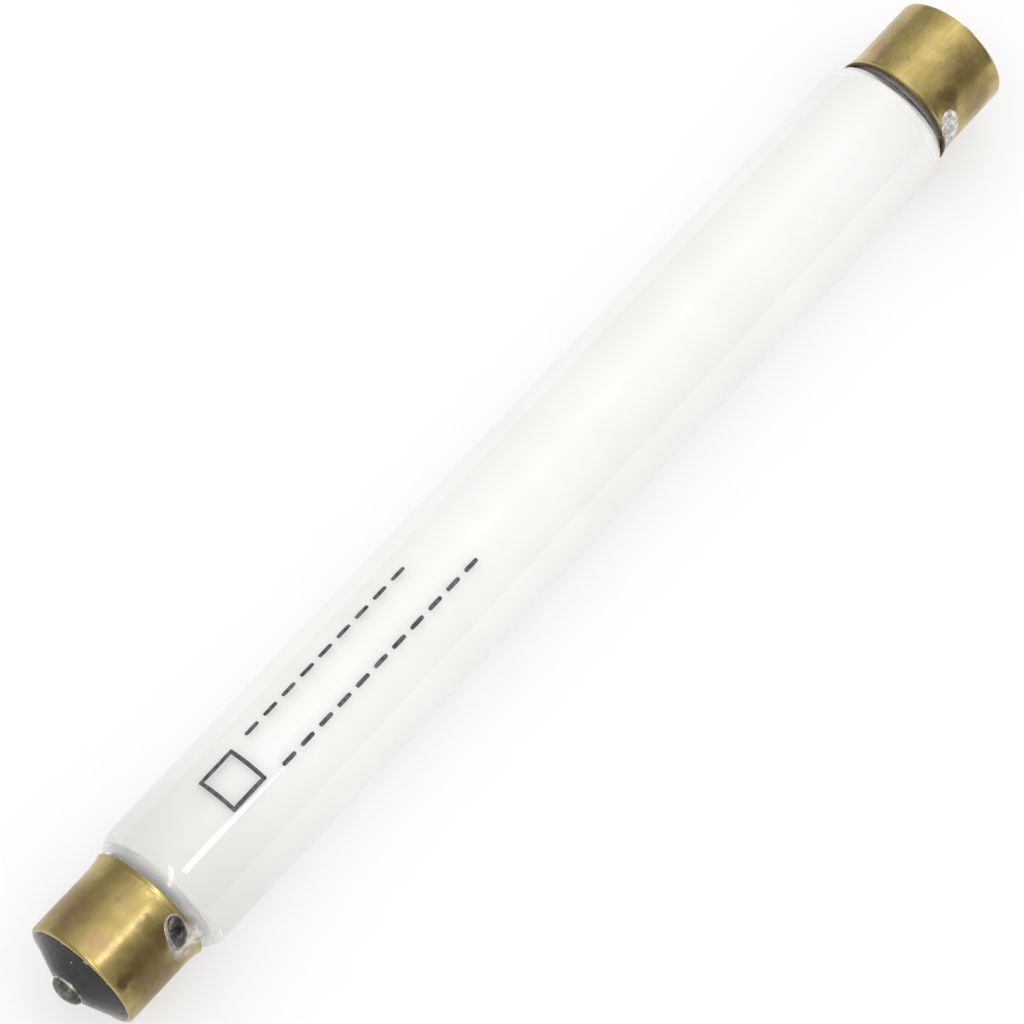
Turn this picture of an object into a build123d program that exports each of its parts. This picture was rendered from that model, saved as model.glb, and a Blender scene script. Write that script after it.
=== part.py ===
from build123d import *
import math
import os

# A small fluorescent tube with a plain brass cap on each end, in millimetres.
# The lamp lies along X with its middle at the origin. Both ends are built alike as the right
# end, and the left one is the same set of pieces turned half round.

# Glass tube, drawn in at each end to a neck that goes into the cap
TUBE_OD = 15.9
TUBE_WALL = 0.8
SHOULDER_RADIUS = 3.5
NECK_FILLET = 2.2
NECK_LENGTH = 3.0
CEMENT_GAP = 0.55

# Phosphor powder on the inside of the glass, wiped off beside each cap
COATING = 0.1
BARE_LEFT = 1.65
BARE_RIGHT = 1.5

# Drawn brass cap shell with a bell mouth at its rim and a turned-in lip at its end
CAP_SPAN = 140.0
CAP_LENGTH = 10.2
CAP_OD = 13.6
CAP_SHEET = 0.25
FLARE_LENGTH = 2.2
FLARE_RISE = 0.28
CAP_CORNER = 0.4
CAP_LIP = 0.5

# Black glass insulator pressed into the shell behind its lip, with a cone in front of it
INSULATOR_DEPTH = 2.4
CONE_HEIGHT = 1.7
CONE_TOP_OD = 4.8
CONE_EDGE = 0.35

# Centre contact: an eyelet through the insulator, closed by a dome of solder
EYELET_FLANGE_OD = 3.9
EYELET_FLANGE = 0.3
EYELET_OD = 2.0
EYELET_WALL = 0.25
EYELET_TAIL = 0.4
CONTACT_RISE = 0.9
CONTACT_PLUG = 1.0

# Glass stem: a flared tube sealed into the neck, pressed flat round the lead wires
STEM_OD = 5.8
STEM_WALL = 0.65
STEM_FLARE_RADIUS = 4.0
STEM_FLARE_TURN = 50.0
STEM_TUBE_LENGTH = 3.8
PRESS_LENGTH = 5.5
PRESS_TAPER = 2.0
PRESS_WIDTH = 7.0
PRESS_THICKNESS = 2.4
PRESS_ROUND = 0.6
EXHAUST_OD = 2.2
EXHAUST_WALL = 0.5
EXHAUST_ROOM = 2.35
EXHAUST_TIP = 1.6

# Lead wires and the coiled cathode between their inner tips
LEAD_OD = 0.3
LEAD_PITCH = 3.4
LEAD_REACH = 4.2
LEAD_BEND = 0.8
LEAD_CROSSING = 1.2
LEAD_CLEARANCE = 0.06
COIL_OD = 1.2
COIL_WIRE = 0.26
COIL_TURNS = 8
COIL_SPAN = 5.0
COIL_BITE = 0.06

# Solder lump that ties one lead to the outside of the rim, and its angle about X at each end
SOLDER_SPREAD = 3.0
SOLDER_HEIGHT = 0.8
SOLDER_INSET = 0.95
SOLDER_ANGLE_LEFT = 142.5
SOLDER_ANGLE_RIGHT = 163.5

# Places that follow from the sizes above
TUBE_R = TUBE_OD / 2
CAP_R = CAP_OD / 2
CAP_INNER_R = CAP_R - CAP_SHEET
LIP_R = CAP_R - CAP_LIP
CAP_END = CAP_SPAN / 2
RIM_X = CAP_END - CAP_LENGTH
WALL_START = RIM_X + FLARE_LENGTH
WALL_END = CAP_END - CAP_CORNER
INSULATOR_BACK = CAP_END - INSULATOR_DEPTH
CONE_TOP = CAP_END + CONE_HEIGHT
FLANGE_TOP = CONE_TOP + EYELET_FLANGE
EYELET_BACK = INSULATOR_BACK - EYELET_TAIL
EYELET_BORE_R = EYELET_OD / 2 - EYELET_WALL
LEAD_OFFSET = LEAD_PITCH / 2


def turned(outline):
    """A solid of revolution about the lamp's axis, from the edges of a closed half section."""
    edges = [edge for line in outline for edge in line.edges()]
    return revolve(make_face(edges), axis=Axis.X)


def wire(route, bend, diameter):
    """A round wire along straight runs joined by tangent arcs."""
    path = FilletPolyline(*route, radius=bend)
    section = Plane(path @ 0, z_dir=path % 0) * Circle(diameter / 2)
    return sweep(section, path=path)


# The bell mouth is an arc tangent to the wall, with its centre outside the shell
FLARE_RADIUS = (FLARE_LENGTH**2 + FLARE_RISE**2) / (2 * FLARE_RISE)
FLARE_TURN = math.asin(FLARE_LENGTH / FLARE_RADIUS)
RIM_INNER_R = CAP_R + FLARE_RADIUS - math.sqrt((FLARE_RADIUS + CAP_SHEET) ** 2 - FLARE_LENGTH**2)

# The neck starts so far inside the rim that a lead can pass between the rim and the glass
NECK_R = CAP_INNER_R - CEMENT_GAP
NECK_BORE_R = NECK_R - TUBE_WALL
GLASS_AT_RIM_R = RIM_INNER_R - LEAD_OD - 2 * LEAD_CLEARANCE
NECK_RISE = GLASS_AT_RIM_R - NECK_R
NECK_X = RIM_X + math.sqrt(NECK_RISE * (2 * NECK_FILLET - NECK_RISE))
NECK_END = NECK_X + NECK_LENGTH

# The shoulder is two tangent arcs, so its turn follows from the drop between tube and neck
SHOULDER_ARCS = SHOULDER_RADIUS + NECK_FILLET
SHOULDER_TURN = math.acos(1 - (TUBE_R - NECK_R) / SHOULDER_ARCS)
SHOULDER_X = NECK_X - SHOULDER_ARCS * math.sin(SHOULDER_TURN)


def glass_line(depth):
    """The tube's outline from neck to neck, at a depth below its outside."""
    radius = SHOULDER_RADIUS - depth
    across = math.sin(SHOULDER_TURN)
    along = math.cos(SHOULDER_TURN)
    bend = (SHOULDER_X + radius * across, TUBE_R - SHOULDER_RADIUS + radius * along)
    start = (SHOULDER_X, TUBE_R - depth)
    neck = (NECK_X, NECK_R - depth)
    half = [
        TangentArc(start, bend, tangent=(1, 0)),
        TangentArc(bend, neck, tangent=(along, -across)),
        Line(neck, (NECK_END, NECK_R - depth)),
    ]
    middle = Line((-SHOULDER_X, TUBE_R - depth), start)
    return [middle] + half + [mirror(edge, about=Plane.YZ) for edge in half]


def glass_layer(outer, inner):
    """The edges round a layer of the tube's wall between two depths."""
    ends = [Line((x, NECK_R - outer), (x, NECK_R - inner)) for x in (-NECK_END, NECK_END)]
    return glass_line(outer) + glass_line(inner) + ends


def phosphor_coating():
    """The powder layer inside the glass, cut off where the ends are wiped clear."""
    layer = turned(glass_layer(TUBE_WALL, TUBE_WALL + COATING))
    left = BARE_LEFT - RIM_X
    right = RIM_X - BARE_RIGHT
    kept = Pos((left + right) / 2, 0, 0) * Box(right - left, TUBE_OD, TUBE_OD)
    return layer & kept


def rim_edge(depth):
    """The point where the rim's cut edge lies at a depth below the shell's outside."""
    reach = FLARE_RADIUS + depth
    return (
        WALL_START - reach * math.sin(FLARE_TURN),
        CAP_R + FLARE_RADIUS - reach * math.cos(FLARE_TURN),
    )


def shell_line(depth):
    """The shell's outline from rim to lip, at a depth below its outside."""
    corner = (CAP_END - depth, CAP_R - CAP_CORNER)
    return [
        TangentArc((WALL_START, CAP_R - depth), rim_edge(depth), tangent=(-1, 0)),
        Line((WALL_START, CAP_R - depth), (WALL_END, CAP_R - depth)),
        TangentArc((WALL_END, CAP_R - depth), corner, tangent=(1, 0)),
        Line(corner, (CAP_END - depth, LIP_R)),
    ]


def cap_shell():
    """The brass shell: bell mouth, straight wall, rounded end and turned-in lip."""
    ends = [
        Line(rim_edge(0), rim_edge(CAP_SHEET)),
        Line((CAP_END, LIP_R), (CAP_END - CAP_SHEET, LIP_R)),
    ]
    return turned(shell_line(0) + shell_line(CAP_SHEET) + ends)


def cap_insulator():
    """Black glass that fills the shell behind its lip and stands out of it as a cone."""
    corner = (CAP_END - CAP_SHEET, CAP_R - CAP_CORNER)
    bore = EYELET_OD / 2
    cone = FilletPolyline(
        (CAP_END, LIP_R),
        (CONE_TOP, CONE_TOP_OD / 2),
        (CONE_TOP, bore),
        radius=CONE_EDGE,
    )
    inside = [
        Line((CONE_TOP, bore), (INSULATOR_BACK, bore)),
        Line((INSULATOR_BACK, bore), (INSULATOR_BACK, CAP_INNER_R)),
        Line((INSULATOR_BACK, CAP_INNER_R), (WALL_END, CAP_INNER_R)),
        TangentArc((WALL_END, CAP_INNER_R), corner, tangent=(1, 0)),
        Line(corner, (CAP_END - CAP_SHEET, LIP_R)),
        Line((CAP_END - CAP_SHEET, LIP_R), (CAP_END, LIP_R)),
    ]
    return turned([cone] + inside)


def contact_eyelet():
    """The brass eyelet: a flange on the cone's top and a barrel through the insulator."""
    outline = Polyline(
        (EYELET_BACK, EYELET_BORE_R),
        (EYELET_BACK, EYELET_OD / 2),
        (CONE_TOP, EYELET_OD / 2),
        (CONE_TOP, EYELET_FLANGE_OD / 2),
        (FLANGE_TOP, EYELET_FLANGE_OD / 2),
        (FLANGE_TOP, EYELET_BORE_R),
        close=True,
    )
    return turned([outline])


def contact_solder(lead):
    """The solder dome on the eyelet, which runs down its bore round the end of the lead."""
    dome_r = EYELET_FLANGE_OD / 2
    plug = FLANGE_TOP - CONTACT_PLUG
    tip = FLANGE_TOP + CONTACT_RISE
    outline = [
        TangentArc((tip, 0), (FLANGE_TOP, dome_r), tangent=(0, 1)),
        Line((FLANGE_TOP, dome_r), (FLANGE_TOP, EYELET_BORE_R)),
        Line((FLANGE_TOP, EYELET_BORE_R), (plug, EYELET_BORE_R)),
        Line((plug, EYELET_BORE_R), (plug, 0)),
        Line((plug, 0), (tip, 0)),
    ]
    return turned(outline) - lead


# The stem's flare reaches the neck's bore at the neck's end; its tube and press lie inside
FLARE_ANGLE = math.radians(STEM_FLARE_TURN)
STEM_R = STEM_OD / 2
STEM_BORE_R = STEM_R - STEM_WALL
FLARE_ARC_R = STEM_FLARE_RADIUS + STEM_WALL
FLARE_ARC_TOP = STEM_BORE_R + FLARE_ARC_R * (1 - math.cos(FLARE_ANGLE))
FLARE_REACH = FLARE_ARC_R * math.sin(FLARE_ANGLE) + (NECK_BORE_R - FLARE_ARC_TOP) / math.tan(FLARE_ANGLE)
STEM_OPEN = NECK_END - FLARE_REACH
PRESS_TOP = STEM_OPEN - STEM_TUBE_LENGTH
PRESS_X = PRESS_TOP - PRESS_LENGTH
EXHAUST_END = EYELET_BACK - EXHAUST_ROOM


def stem_line(depth):
    """The flared tube's outline from the press to the neck, at a depth below its outside."""
    radius = STEM_FLARE_RADIUS + depth
    start = (STEM_OPEN, STEM_R - depth)
    turn = (
        STEM_OPEN + radius * math.sin(FLARE_ANGLE),
        STEM_R - depth + radius * (1 - math.cos(FLARE_ANGLE)),
    )
    rim = (turn[0] + (NECK_BORE_R - turn[1]) / math.tan(FLARE_ANGLE), NECK_BORE_R)
    return [
        Line((PRESS_TOP, STEM_R - depth), start),
        TangentArc(start, turn, tangent=(1, 0)),
        Line(turn, rim),
    ]


def stem(to_contact, to_rim):
    """Flared tube, flat press and exhaust tube, melted into one piece of glass."""
    outside = stem_line(0)
    inside = stem_line(STEM_WALL)
    ends = [
        Line((PRESS_TOP, STEM_R), (PRESS_TOP, STEM_BORE_R)),
        Line(outside[-1] @ 1, inside[-1] @ 1),
    ]
    flare = turned(outside + inside + ends)
    round_end = Plane((PRESS_TOP, 0, 0), x_dir=(0, 1, 0), z_dir=(-1, 0, 0))
    flat_end = round_end.offset(PRESS_TAPER)
    paddle = RectangleRounded(PRESS_WIDTH, PRESS_THICKNESS, PRESS_ROUND)
    taper = loft([round_end * Circle(STEM_R), flat_end * paddle])
    press = extrude(flat_end * paddle, amount=PRESS_LENGTH - PRESS_TAPER)
    neck_x = EXHAUST_END - EXHAUST_TIP
    bore_r = EXHAUST_OD / 2 - EXHAUST_WALL
    nib = FilletPolyline(
        (neck_x, EXHAUST_OD / 2),
        (EXHAUST_END, bore_r),
        (EXHAUST_END, 0),
        radius=bore_r / 2,
    )
    tube = turned([
        Polyline((EXHAUST_END, 0), (PRESS_TOP, 0), (PRESS_TOP, EXHAUST_OD / 2), (neck_x, EXHAUST_OD / 2)),
        nib,
    ])
    bore_length = neck_x - PRESS_X
    bore = Pos(PRESS_X + bore_length / 2, 0, 0) * Rot(0, 90, 0) * Cylinder(bore_r, bore_length)
    return flare + taper + press + tube - bore - to_contact - to_rim


def cathode_end(side):
    """The run of a lead from the coil to the press, on the side given by a sign."""
    tip = PRESS_X - LEAD_REACH
    return [
        (tip, side * COIL_SPAN / 2),
        (tip + COIL_OD + LEAD_OD, side * COIL_SPAN / 2),
        (PRESS_X - LEAD_BEND, side * LEAD_OFFSET),
    ]


def contact_lead():
    """From the cathode through the press, then in to the axis and up the eyelet's bore."""
    axis_x = EYELET_BACK - LEAD_BEND
    route = cathode_end(-1) + [
        (axis_x - LEAD_CROSSING, -LEAD_OFFSET),
        (axis_x, 0),
        (FLANGE_TOP, 0),
    ]
    return wire(route, LEAD_BEND, LEAD_OD)


def rim_lead():
    """From the cathode through the press, round the neck's end and out between glass and rim."""
    turn_x = NECK_END + LEAD_BEND + LEAD_OD
    channel_r = NECK_R + CEMENT_GAP / 2
    route = cathode_end(1) + [
        (turn_x, LEAD_OFFSET),
        (turn_x, channel_r),
        ((WALL_START + RIM_X) / 2, channel_r),
        (RIM_X, (GLASS_AT_RIM_R + RIM_INNER_R) / 2),
    ]
    return wire(route, LEAD_BEND, LEAD_OD)


def basing_cement(lead):
    """The ring of cement that holds the shell on the neck, with the lead run through it."""
    mouth = max(WALL_START, NECK_X)
    outline = Polyline(
        (mouth, NECK_R),
        (mouth, CAP_INNER_R),
        (NECK_END, CAP_INNER_R),
        (NECK_END, NECK_R),
        close=True,
    )
    return turned([outline]) - lead


def rim_solder(shell, lead):
    """The solder lump over the rim: a cap of a sphere on the wall, which closes in the lead's end."""
    ball_r = ((SOLDER_SPREAD / 2) ** 2 + SOLDER_HEIGHT**2) / (2 * SOLDER_HEIGHT)
    ball = Pos(RIM_X + SOLDER_INSET, CAP_R + SOLDER_HEIGHT - ball_r, 0) * Sphere(ball_r)
    glass_ends = Polyline((-NECK_END, NECK_R), (-NECK_END, 0), (NECK_END, 0), (NECK_END, NECK_R))
    shell_ends = Polyline(rim_edge(0), (RIM_X, 0), (CAP_END, 0), (CAP_END, LIP_R))
    full_glass = turned(glass_line(0) + [glass_ends])
    full_shell = turned(shell_line(0) + [shell_ends])
    return ball - full_glass - full_shell - shell - lead


def filament(to_contact, to_rim):
    """The coated coil between the two leads, which bite into its end turns."""
    coil_r = (COIL_OD - COIL_WIRE) / 2
    length = COIL_SPAN - LEAD_OD - COIL_WIRE + 2 * COIL_BITE
    helix = Helix(length / COIL_TURNS, length, coil_r)
    section = Plane(helix @ 0, z_dir=helix % 0) * Circle(COIL_WIRE / 2)
    coil = Pos(0, 0, -length / 2) * sweep(section, path=helix, is_frenet=True)
    coil_x = PRESS_X - LEAD_REACH + COIL_OD / 2
    return Pos(coil_x, 0, 0) * Rot(90, 0, 0) * coil - to_contact - to_rim


glass = turned(glass_layer(0, TUBE_WALL))
shell = cap_shell()
to_contact = contact_lead()
to_rim = rim_lead()

end_pieces = {
    "cap_shell": shell,
    "cap_insulator": cap_insulator(),
    "contact_eyelet": contact_eyelet(),
    "contact_solder": contact_solder(to_contact),
    "rim_solder": rim_solder(shell, to_rim),
    "basing_cement": basing_cement(to_rim),
    "stem": stem(to_contact, to_rim),
    "contact_lead": to_contact,
    "rim_lead": to_rim,
    "filament": filament(to_contact, to_rim),
}
end_places = {
    "left": Rot(SOLDER_ANGLE_LEFT - 180, 0, 0) * Rot(0, 0, 180),
    "right": Rot(SOLDER_ANGLE_RIGHT, 0, 0),
}

nodes = {"glass_tube": glass, "phosphor_coating": phosphor_coating()}
for end, place in end_places.items():
    for name, piece in end_pieces.items():
        nodes[f"{name}_{end}"] = place * piece

os.makedirs("parts", exist_ok=True)
for name, piece in nodes.items():
    export_step(piece, f"parts/{name}.step")
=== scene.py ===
import math
import bpy
import numpy as np
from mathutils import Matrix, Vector


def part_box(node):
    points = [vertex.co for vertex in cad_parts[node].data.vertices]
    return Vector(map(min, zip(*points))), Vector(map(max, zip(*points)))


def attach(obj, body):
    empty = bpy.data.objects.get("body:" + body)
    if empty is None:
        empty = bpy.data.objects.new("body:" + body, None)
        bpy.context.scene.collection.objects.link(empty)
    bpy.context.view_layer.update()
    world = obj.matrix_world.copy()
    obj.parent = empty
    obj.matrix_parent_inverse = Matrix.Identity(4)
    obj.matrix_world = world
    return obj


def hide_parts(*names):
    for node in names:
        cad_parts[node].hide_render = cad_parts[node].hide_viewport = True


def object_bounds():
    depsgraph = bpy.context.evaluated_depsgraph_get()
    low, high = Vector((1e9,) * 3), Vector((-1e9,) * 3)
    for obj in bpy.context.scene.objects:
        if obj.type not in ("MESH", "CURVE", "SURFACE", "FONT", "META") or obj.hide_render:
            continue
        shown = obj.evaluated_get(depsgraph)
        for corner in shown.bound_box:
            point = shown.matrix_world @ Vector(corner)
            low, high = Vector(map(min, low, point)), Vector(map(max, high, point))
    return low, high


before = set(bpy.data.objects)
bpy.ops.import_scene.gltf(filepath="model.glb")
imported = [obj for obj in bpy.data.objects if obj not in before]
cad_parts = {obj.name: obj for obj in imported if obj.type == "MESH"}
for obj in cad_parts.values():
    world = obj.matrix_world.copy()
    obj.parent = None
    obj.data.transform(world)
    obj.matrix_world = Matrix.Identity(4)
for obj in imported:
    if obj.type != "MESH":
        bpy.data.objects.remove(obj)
cad_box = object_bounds()


# Glass tube: one length of clear soda-lime tubing. Each end was softened in a flame and rolled
# in to a shoulder and a neck, so the shoulders are a little uneven round the axis.
MM = 0.001
TURN_STEPS = 240
WALL_ROWS = 16
ARC_ROWS = 18
NECK_ROWS = 5
TUBE_WALL = 0.8 * MM
SHOULDER_RADIUS = 3.5 * MM
NECK_FILLET = 2.2 * MM
NECK_LENGTH = 3.0 * MM
NECK_R = 6.0 * MM
TUBE_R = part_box("glass_tube")[1].z
NECK_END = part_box("glass_tube")[1].x
NECK_X = NECK_END - NECK_LENGTH
SHOULDER_ARCS = SHOULDER_RADIUS + NECK_FILLET
SHOULDER_TURN = math.acos(1 - (TUBE_R - NECK_R) / SHOULDER_ARCS)
SHOULDER_X = NECK_X - SHOULDER_ARCS * math.sin(SHOULDER_TURN)
RIPPLE_WAVES = 5
RIPPLE_FULL = 2.3
TUBE_WAVER = 0.0015 * MM
TUBE_WAVE = 120 * MM
TUBE_SEED = 3
SHOULDER_WAVER = 0.008 * MM
SHOULDER_WAVE = 12 * MM
SHOULDER_SEED = 5
WAVER_PLACE = 1.6 * MM
WAVER_BAND = 1.3 * MM
GLASS_TINT = (0.975, 0.985, 0.978, 1)
GLASS_ROUGHNESS = 0.015
GLASS_IOR = 1.52
SMEAR_ROUGHNESS = 0.05

turn = np.linspace(0, 2 * math.pi, TURN_STEPS, endpoint=False)


def put_in_scene(name, data):
    """An object that shows a mesh, a light or a camera, linked into the scene."""
    made = bpy.data.objects.new(name, data)
    bpy.context.scene.collection.objects.link(made)
    return made


def skin(name, grids, ring=True):
    """A closed mesh over grids of points, rows along an outline and columns round it.

    The columns always join up. The rows join up where the outline is a ring, and otherwise each
    end is closed by a fan round the middle of its row. An outline that runs along +X on the
    outside, with columns that turn from +Y to +Z, faces outwards.
    """
    points, quads, fans = [], [], []
    first = 0
    for grid in grids:
        rows, columns = grid.shape[:2]
        index = first + np.arange(rows * columns).reshape(rows, columns)
        here = index if ring else index[:-1]
        after = np.roll(index, -1, axis=0) if ring else index[1:]
        corners = [here, np.roll(here, -1, axis=1), np.roll(after, -1, axis=1), after]
        quads.append(np.stack(corners, axis=-1).reshape(-1, 4))
        points.append(grid.reshape(-1, 3))
        first += rows * columns
        if not ring:
            points.append(np.stack([grid[0].mean(axis=0), grid[-1].mean(axis=0)]))
            start, end = index[0], index[-1]
            fans.append(np.stack([np.full(columns, first), np.roll(start, -1), start], axis=-1))
            fans.append(np.stack([np.full(columns, first + 1), end, np.roll(end, -1)], axis=-1))
            first += 2
    faces = np.concatenate(quads).tolist()
    if fans:
        faces += np.concatenate(fans).tolist()
    mesh = bpy.data.meshes.new(name)
    mesh.from_pydata(np.concatenate(points).tolist(), [], faces)
    mesh.polygons.foreach_set("use_smooth", np.ones(len(faces), bool))
    mesh.update()
    return put_in_scene(name, mesh)


def about_axis(x, radius, angle):
    """Points at a distance from the lamp's axis, at angles from +Y towards +Z."""
    return np.stack(np.broadcast_arrays(x, radius * np.cos(angle), radius * np.sin(angle)), axis=-1)


def ripple(x, angle, length, seed):
    """Smooth unevenness from -1 to 1: five waves that turn round the axis and drift along it.

    Each wave is a cosine of its number times the angle, plus a drawn phase and a drift with x, and
    its height is one over its number.
    """
    draw = np.random.default_rng(seed)
    total = 0
    for wave in range(1, RIPPLE_WAVES + 1):
        phase = draw.uniform(0, 2 * math.pi)
        drift = draw.uniform(-1, 1)
        total = total + np.cos(wave * angle + phase + drift * 2 * math.pi * x / length) / wave
    return total / RIPPLE_FULL


def glass_half(depth, wall_rows, arc_rows):
    """Half the tube's outline at a depth below its outside, as x and r.

    A straight wall, an arc that turns in, a counter arc that turns back, and a straight neck.
    """
    wall_x = np.linspace(0, SHOULDER_X, wall_rows, endpoint=False)
    turned = np.linspace(0, SHOULDER_TURN, arc_rows)
    turned_back = turned[-2::-1]
    in_r = SHOULDER_RADIUS - depth
    back_r = NECK_FILLET + depth
    neck_x = np.linspace(NECK_X, NECK_END, NECK_ROWS)[1:]
    x = [
        wall_x,
        SHOULDER_X + in_r * np.sin(turned),
        NECK_X - back_r * np.sin(turned_back),
        neck_x,
    ]
    r = [
        np.full(wall_rows, TUBE_R - depth),
        TUBE_R - SHOULDER_RADIUS + in_r * np.cos(turned),
        NECK_R + NECK_FILLET - back_r * np.cos(turned_back),
        np.full(len(neck_x), NECK_R - depth),
    ]
    return np.concatenate(x), np.concatenate(r)


def glass_outline(depth):
    """The whole outline from the left neck to the right one: the half outline and its mirror image."""
    x, r = glass_half(depth, WALL_ROWS, ARC_ROWS)
    return np.concatenate([-x[:0:-1], x]), np.concatenate([r[:0:-1], r])


def glass_waver(x, angle):
    """How far the glass stands off its true form: a little along the tube, more at the shoulders.

    The shoulders' share is a bell curve about a place just past the start of each shoulder.
    """
    at_shoulder = np.exp(-(((np.abs(x) - SHOULDER_X - WAVER_PLACE) / WAVER_BAND) ** 2))
    along = TUBE_WAVER * ripple(x, angle, TUBE_WAVE, TUBE_SEED)
    return along + SHOULDER_WAVER * at_shoulder * ripple(x, angle, SHOULDER_WAVE, SHOULDER_SEED)


def new_material(name):
    """A material with an empty node tree, handed back with that tree."""
    material = bpy.data.materials.new(name)
    material.use_nodes = True
    material.node_tree.nodes.clear()
    return material, material.node_tree


def node(tree, kind, sockets=None, **settings):
    """A node with its settings, and each named socket set to a value or linked to an output."""
    made = tree.nodes.new(kind)
    for name, value in settings.items():
        setattr(made, name, value)
    for key, value in (sockets or {}).items():
        if isinstance(value, bpy.types.NodeSocket):
            tree.links.new(value, made.inputs[key])
        else:
            made.inputs[key].default_value = value
    return made


def noise(tree, scale, detail=3.0, stretch=(1, 1, 1), shift=(0, 0, 0)):
    """Noise on the piece's own coordinates, with lumps of about one over scale metres."""
    place = node(tree, "ShaderNodeTexCoord").outputs["Object"]
    mapped = node(tree, "ShaderNodeMapping", {"Vector": place, "Location": shift, "Scale": stretch})
    sockets = {"Vector": mapped.outputs["Vector"], "Scale": scale, "Detail": detail}
    return node(tree, "ShaderNodeTexNoise", sockets).outputs["Fac"]


def spread(tree, value, low, high, start=0.0, end=1.0):
    """A value taken smoothly from the span low to high onto the span start to end."""
    sockets = {"Value": value, "From Min": low, "From Max": high, "To Min": start, "To Max": end}
    return node(tree, "ShaderNodeMapRange", sockets, interpolation_type="SMOOTHSTEP").outputs["Result"]


def bump(tree, height, distance):
    """A normal tilted by a height from 0 to 1 that stands for a distance in metres."""
    return node(tree, "ShaderNodeBump", {"Height": height, "Distance": distance}).outputs["Normal"]


def surface(tree, sockets):
    """The shader of a surface, with each named socket set to a value or linked to an output."""
    return node(tree, "ShaderNodeBsdfPrincipled", sockets).outputs["BSDF"]


def laid_over(tree, share, first, second):
    """A second shader laid over a first by a share from 0 to 1."""
    return node(tree, "ShaderNodeMixShader", {0: share, 1: first, 2: second}).outputs["Shader"]


def show(tree, shader):
    """Ends a tree in its material output."""
    node(tree, "ShaderNodeOutputMaterial", {"Surface": shader})


def let_light_through(tree, shader):
    """A surface that is seen as it is, while lamps and scattered light pass straight through it."""
    path = node(tree, "ShaderNodeLightPath")
    passed = node(tree, "ShaderNodeBsdfTransparent").outputs["BSDF"]
    for ray in ("Is Shadow Ray", "Is Diffuse Ray"):
        shader = laid_over(tree, path.outputs[ray], shader, passed)
    return shader


def clear_glass(name, colour, roughness):
    """Clear glass with faint finger marks, which lets light straight through to what is behind it."""
    material, tree = new_material(name)
    marks = noise(tree, scale=160, detail=4)
    smeared = roughness + SMEAR_ROUGHNESS
    glass = surface(tree, {
        "Base Color": colour,
        "Roughness": spread(tree, marks, low=0.45, high=0.75, start=roughness, end=smeared),
        "IOR": GLASS_IOR,
        "Transmission Weight": 1.0,
    })
    show(tree, let_light_through(tree, glass))
    return material


outer_x, outer_r = glass_outline(0)
inner_x, inner_r = glass_outline(TUBE_WALL)
wall_x = np.concatenate([outer_x, inner_x[::-1]])[:, None]
wall_r = np.concatenate([outer_r, inner_r[::-1]])[:, None]
tube = skin("tube_glass", [about_axis(wall_x, wall_r + glass_waver(wall_x, turn), turn)])
tube.data.materials.append(clear_glass("clear_glass", GLASS_TINT, GLASS_ROUGHNESS))
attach(tube, "root")
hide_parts("glass_tube")


# Phosphor coating: a film of white powder run down the inside of the tube and baked on, then
# wiped off beside each cap. The wiping leaves a slightly wavy edge and a haze on the glass. The
# haze is painted grey with shade towards each cap, most at the right end.
ENDS = ("left", "right")
FILM_ROWS = 48
COATING = 0.1 * MM
COATING_CLING = 0.02 * MM
EDGE_WANDER = 0.12 * MM
LEFT_EDGE_SEED = 11
RIGHT_EDGE_SEED = 12
COATING_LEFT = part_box("phosphor_coating")[0].x
COATING_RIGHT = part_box("phosphor_coating")[1].x
POWDER_WHITE = (0.985, 0.975, 0.96, 1)
POWDER_GREY = (0.955, 0.945, 0.925, 1)
POWDER_LEFT_GREY = (0.80, 0.79, 0.77, 1)
POWDER_ROUGHNESS = 0.9
POWDER_SHINE = 0.1
POWDER_GRAIN = 0.01 * MM
POWDER_THROUGH = 0.28
# The powder turns greyer towards the left end, between these places along the axis.
LEFT_GREY_FROM = -38 * MM
LEFT_GREY_FULL = -62 * MM
LEFT_GREY_SHARE = 0.8
HAZE_ROWS = 40
HAZE_DEPTH = 0.02 * MM
HAZE_THICKNESS = 1.5 * HAZE_DEPTH
HAZE_OVERLAP = 0.4 * MM
HAZE_START = -COATING_LEFT - HAZE_OVERLAP
HAZE_FADE = 0.6 * MM
HAZE_REACH = 1.4 * MM
HAZE_DENSE = 0.7
HAZE_SHARE = {"left": 0.42, "right": 0.78}
# The right end's greyer colours, and the colours towards each cap, are painted shade from the cap over the
# neck.
HAZE_PALE = {"left": (0.90, 0.90, 0.89, 1), "right": (0.80, 0.80, 0.80, 1)}
HAZE_STREAK = {"left": (0.74, 0.74, 0.73, 1), "right": (0.66, 0.66, 0.66, 1)}
HAZE_SHADED = {"left": (0.80, 0.80, 0.79, 1), "right": (0.46, 0.455, 0.45, 1)}


def tint(tree, share, first, second):
    """A second colour laid over a first by a share from 0 to 1."""
    return node(tree, "ShaderNodeMix", {0: share, 6: first, 7: second}, data_type="RGBA").outputs[2]


def arithmetic(tree, operation, *values):
    """One step of sums on values, such as ADD or MAXIMUM."""
    return node(tree, "ShaderNodeMath", dict(enumerate(values)), operation=operation).outputs["Value"]


def coating_radius(x, depth):
    """The glass at a depth, as a function of x: straight, then the shoulder's arc."""
    past = np.clip(np.abs(x) - SHOULDER_X, 0, SHOULDER_RADIUS - depth)
    return TUBE_R - SHOULDER_RADIUS + np.sqrt((SHOULDER_RADIUS - depth) ** 2 - past**2)


def along_axis(tree):
    """The place along the lamp's axis, in metres from its middle."""
    place = node(tree, "ShaderNodeTexCoord").outputs["Object"]
    return node(tree, "ShaderNodeSeparateXYZ", {"Vector": place}).outputs["X"]


def off_middle(tree):
    """The distance from the lamp's middle along its axis, in metres."""
    return arithmetic(tree, "ABSOLUTE", along_axis(tree))


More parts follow.
